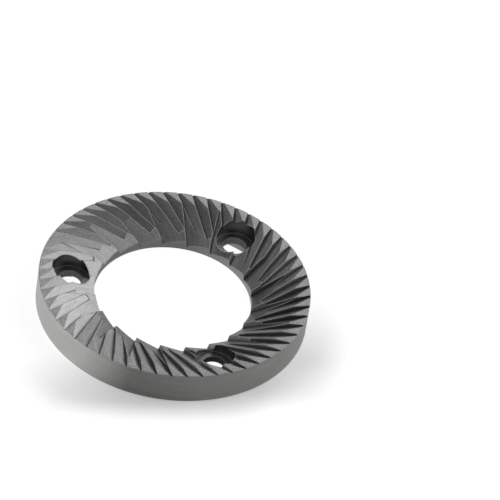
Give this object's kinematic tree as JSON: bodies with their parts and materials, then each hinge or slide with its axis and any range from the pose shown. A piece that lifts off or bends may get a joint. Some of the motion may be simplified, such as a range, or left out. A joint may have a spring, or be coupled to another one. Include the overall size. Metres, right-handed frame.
{
  "type": "flat coffee grinder burr",
  "caption": "Flat steel ring with fine and coarse grinding teeth on one face, a wide bore, counterbored screw holes and a recessed back.",
  "frame": {"origin": "centre of the flat back rim that the burr stands on", "axes": "+Z along the burr's axis, out of the tooth face; a screw hole lies on -X"},
  "size_m": [0.064, 0.064, 0.0081],
  "materials": {
    "steel": "hardened steel, turned and ground to a satin face with bright tooth edges"
  },
  "bodies": {
    "root": {"burr": "steel"}
  },
  "joints": []
}
